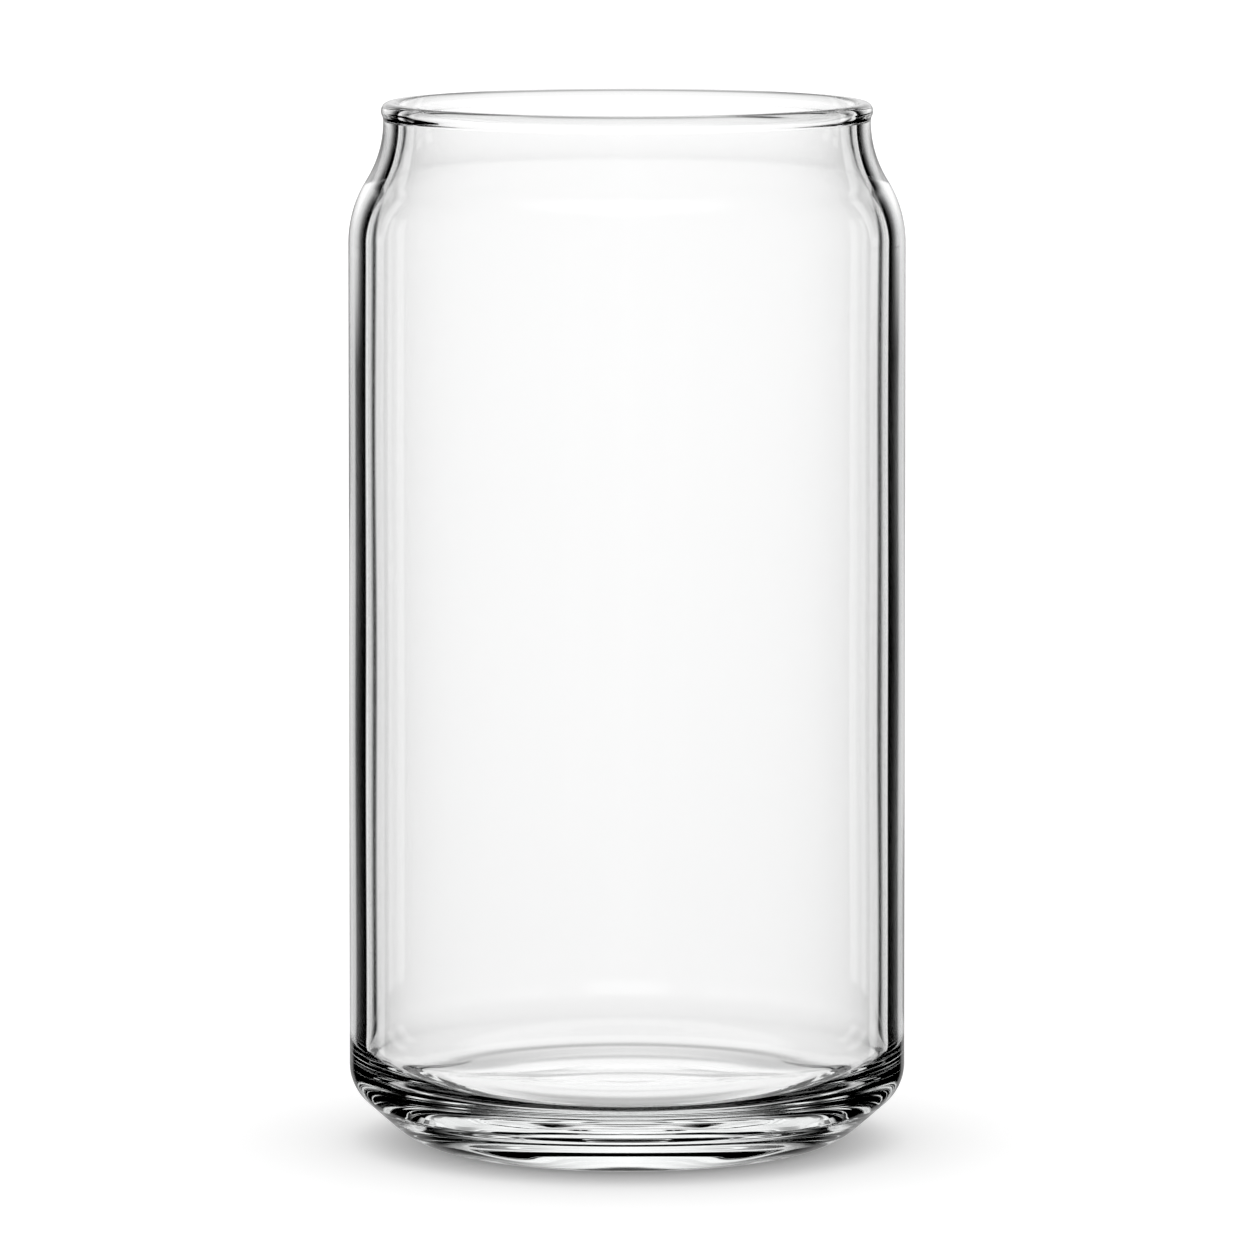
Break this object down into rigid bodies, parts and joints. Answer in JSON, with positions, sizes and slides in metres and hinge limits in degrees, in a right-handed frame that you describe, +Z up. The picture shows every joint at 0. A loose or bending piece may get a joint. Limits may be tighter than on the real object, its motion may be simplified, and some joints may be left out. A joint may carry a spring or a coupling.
{
  "type": "can shaped drinking glass",
  "caption": "Clear drinking glass in the shape of a drinks can: straight round body, soft shoulder, narrower mouth with a rounded lip, and a thick base with a sloping heel.",
  "frame": {"origin": "middle of the flat ring that the glass stands on, at table level", "axes": "+Z up the axis of the glass, from the foot to the mouth; the form is round, so X and Y are free"},
  "size_m": [0.0764, 0.0764, 0.143],
  "materials": {
    "clear_glass": "clear, fire polished and glossy"
  },
  "bodies": {
    "root": {"glass": "clear_glass"}
  },
  "joints": []
}
